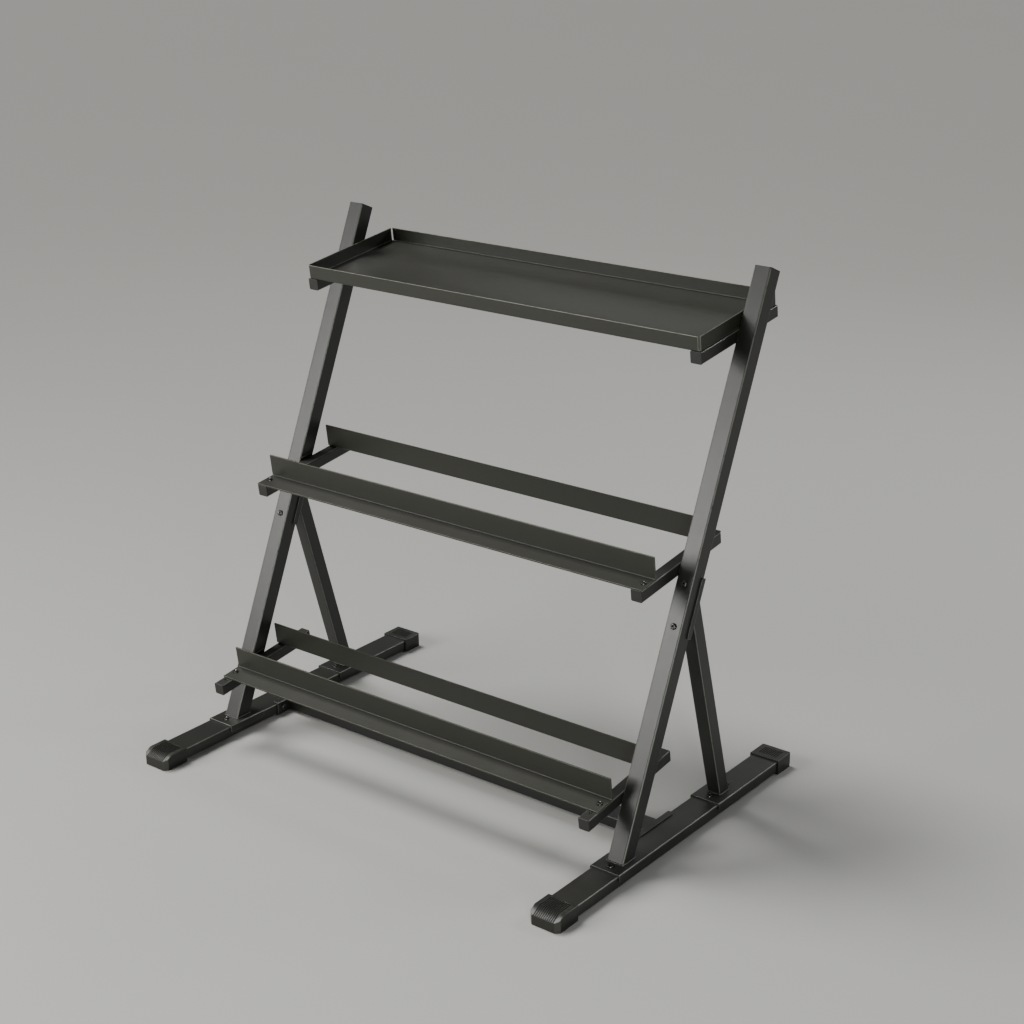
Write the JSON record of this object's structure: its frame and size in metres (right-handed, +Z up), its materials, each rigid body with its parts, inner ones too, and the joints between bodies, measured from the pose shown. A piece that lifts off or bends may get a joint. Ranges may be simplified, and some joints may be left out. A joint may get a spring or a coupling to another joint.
{
  "type": "dumbbell rack",
  "caption": "Freestanding leaning rack with two pairs of angle rails for dumbbells and a shallow tray on top.",
  "frame": {"origin": "on the floor under the middle of the rack", "axes": "+X to the right, +Y to the rear, +Z up"},
  "size_m": [0.88, 0.66, 0.8798],
  "materials": {
    "black_coat": "satin black powder coat with a fine grain",
    "charcoal_coat": "satin charcoal powder coat with a fine grain",
    "foot_plastic": "matte moulded plastic with ribs",
    "cap_plastic": "matte moulded plastic",
    "black_bolts": "black oxide steel, slightly shiny",
    "zinc_nuts": "zinc plated steel"
  },
  "bodies": {
    "root": {"arm_bottom_left": "black_coat", "arm_bottom_right": "black_coat", "arm_caps_bottom_left": "cap_plastic", "arm_caps_bottom_right": "cap_plastic", "arm_caps_middle_left": "cap_plastic", "arm_caps_middle_right": "cap_plastic", "arm_caps_top_left": "cap_plastic", "arm_caps_top_right": "cap_plastic", "arm_middle_left": "black_coat", "arm_middle_right": "black_coat", "arm_nuts": "zinc_nuts", "arm_top_left": "black_coat", "arm_top_right": "black_coat", "base_tube_left": "black_coat", "base_tube_right": "black_coat", "brace_bolts": "black_bolts", "brace_bracket_left": "black_coat", "brace_bracket_right": "black_coat", "brace_left": "black_coat", "brace_nuts": "zinc_nuts", "brace_right": "black_coat", "brace_saddle_left": "black_coat", "brace_saddle_right": "black_coat", "crossbar": "black_coat", "crossbar_bolts": "black_bolts", "crossbar_bracket_left": "black_coat", "crossbar_bracket_right": "black_coat", "crossbar_nuts": "zinc_nuts", "foot_front_left": "foot_plastic", "foot_front_right": "foot_plastic", "foot_rear_left": "foot_plastic", "foot_rear_right": "foot_plastic", "post_cap_left": "cap_plastic", "post_cap_right": "cap_plastic", "post_left": "black_coat", "post_right": "black_coat", "post_saddle_left": "black_coat", "post_saddle_right": "black_coat", "rail_bolts": "black_bolts", "rail_bottom_front": "charcoal_coat", "rail_bottom_rear": "charcoal_coat", "rail_middle_front": "charcoal_coat", "rail_middle_rear": "charcoal_coat", "saddle_bolts": "black_bolts", "saddle_nuts": "zinc_nuts", "tray": "charcoal_coat"}
  },
  "joints": []
}
